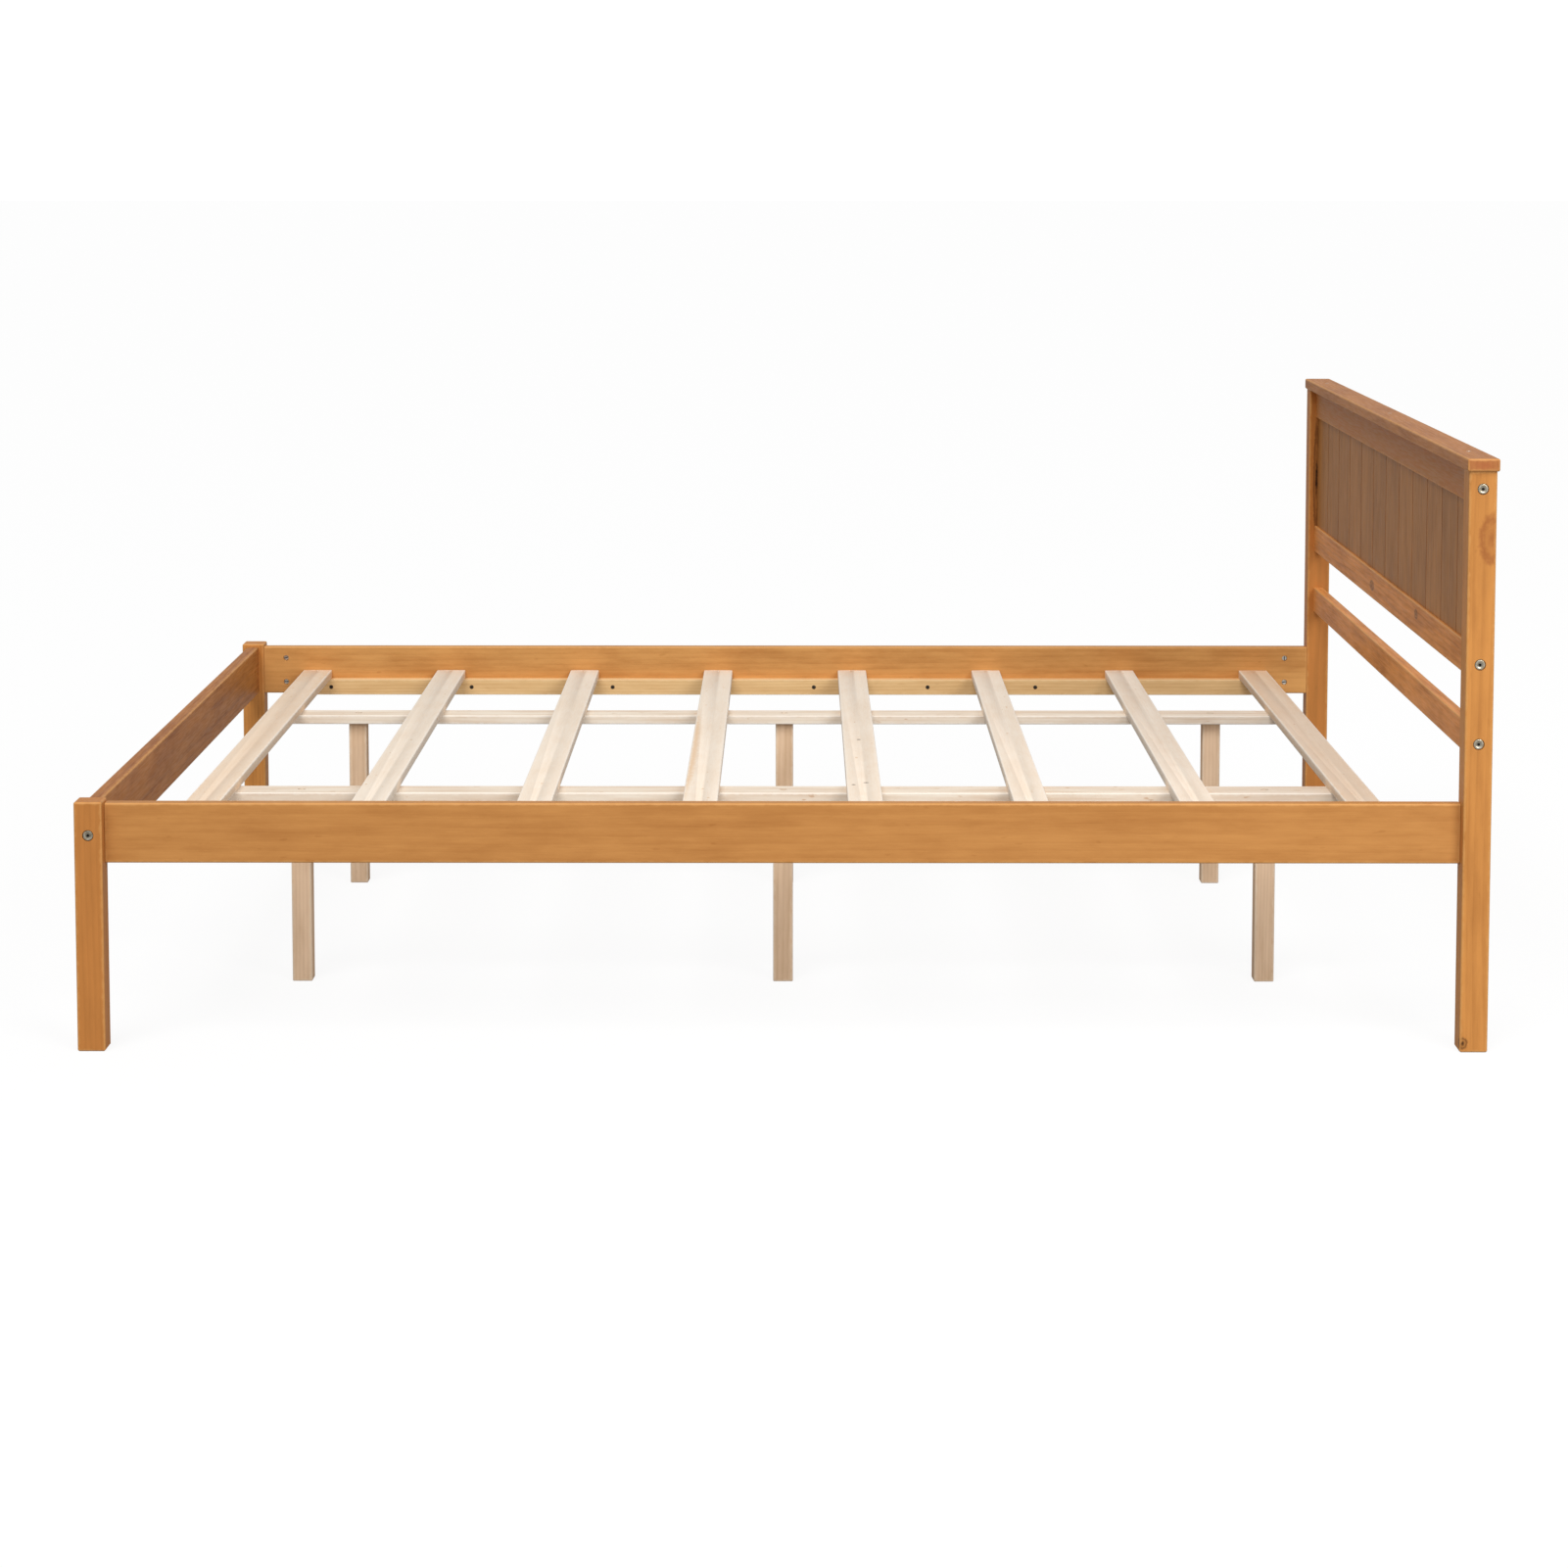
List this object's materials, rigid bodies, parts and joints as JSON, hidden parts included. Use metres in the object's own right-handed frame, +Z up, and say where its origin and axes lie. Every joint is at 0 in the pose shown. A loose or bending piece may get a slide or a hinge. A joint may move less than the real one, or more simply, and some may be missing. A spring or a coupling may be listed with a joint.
{
  "type": "bed frame",
  "caption": "Knock-down bed frame in stained pine: square posts, bolted rails, a boarded headboard under a flat cap, and pale slats on cleats and legged centre beams.",
  "frame": {"origin": "on the floor, in the middle of the overall box", "axes": "+X from the foot of the bed to the headboard, +Y to the left as seen from the foot, +Z up"},
  "size_m": [2.119, 1.638, 0.895],
  "materials": {
    "stained_pine": "honey-oak stain under a satin lacquer",
    "raw_pine": "planed and left bare",
    "zinc_steel": "bright zinc plating",
    "black_steel": "black phosphate",
    "beech": "plain, hidden in the joints"
  },
  "bodies": {
    "root": {"beam_screws": "zinc_steel", "cap_screws": "zinc_steel", "centre_beam_left": "raw_pine", "centre_beam_right": "raw_pine", "cleat_screws": "black_steel", "foot_post_left": "stained_pine", "foot_post_right": "stained_pine", "foot_rail": "stained_pine", "foot_rail_barrel_nuts": "zinc_steel", "foot_rail_bolts": "zinc_steel", "foot_rail_dowels": "beech", "head_post_left": "stained_pine", "head_post_right": "stained_pine", "headboard_barrel_nuts": "zinc_steel", "headboard_board_01": "stained_pine", "headboard_board_02": "stained_pine", "headboard_board_03": "stained_pine", "headboard_board_04": "stained_pine", "headboard_board_05": "stained_pine", "headboard_board_06": "stained_pine", "headboard_board_07": "stained_pine", "headboard_board_08": "stained_pine", "headboard_board_09": "stained_pine", "headboard_board_10": "stained_pine", "headboard_board_11": "stained_pine", "headboard_board_12": "stained_pine", "headboard_bolts": "zinc_steel", "headboard_bottom_rail": "stained_pine", "headboard_cap": "stained_pine", "headboard_dowels": "beech", "headboard_lower_rail": "stained_pine", "headboard_top_rail": "stained_pine", "leg_bolts": "zinc_steel", "side_rail_barrel_nuts": "zinc_steel", "side_rail_bolts": "zinc_steel", "side_rail_left": "stained_pine", "side_rail_right": "stained_pine", "slat_1": "raw_pine", "slat_2": "raw_pine", "slat_3": "raw_pine", "slat_4": "raw_pine", "slat_5": "raw_pine", "slat_6": "raw_pine", "slat_7": "raw_pine", "slat_8": "raw_pine", "slat_cleat_left": "stained_pine", "slat_cleat_right": "stained_pine", "slat_screws": "zinc_steel", "support_leg_left_foot": "raw_pine", "support_leg_left_head": "raw_pine", "support_leg_left_middle": "raw_pine", "support_leg_right_foot": "raw_pine", "support_leg_right_head": "raw_pine", "support_leg_right_middle": "raw_pine"}
  },
  "joints": []
}
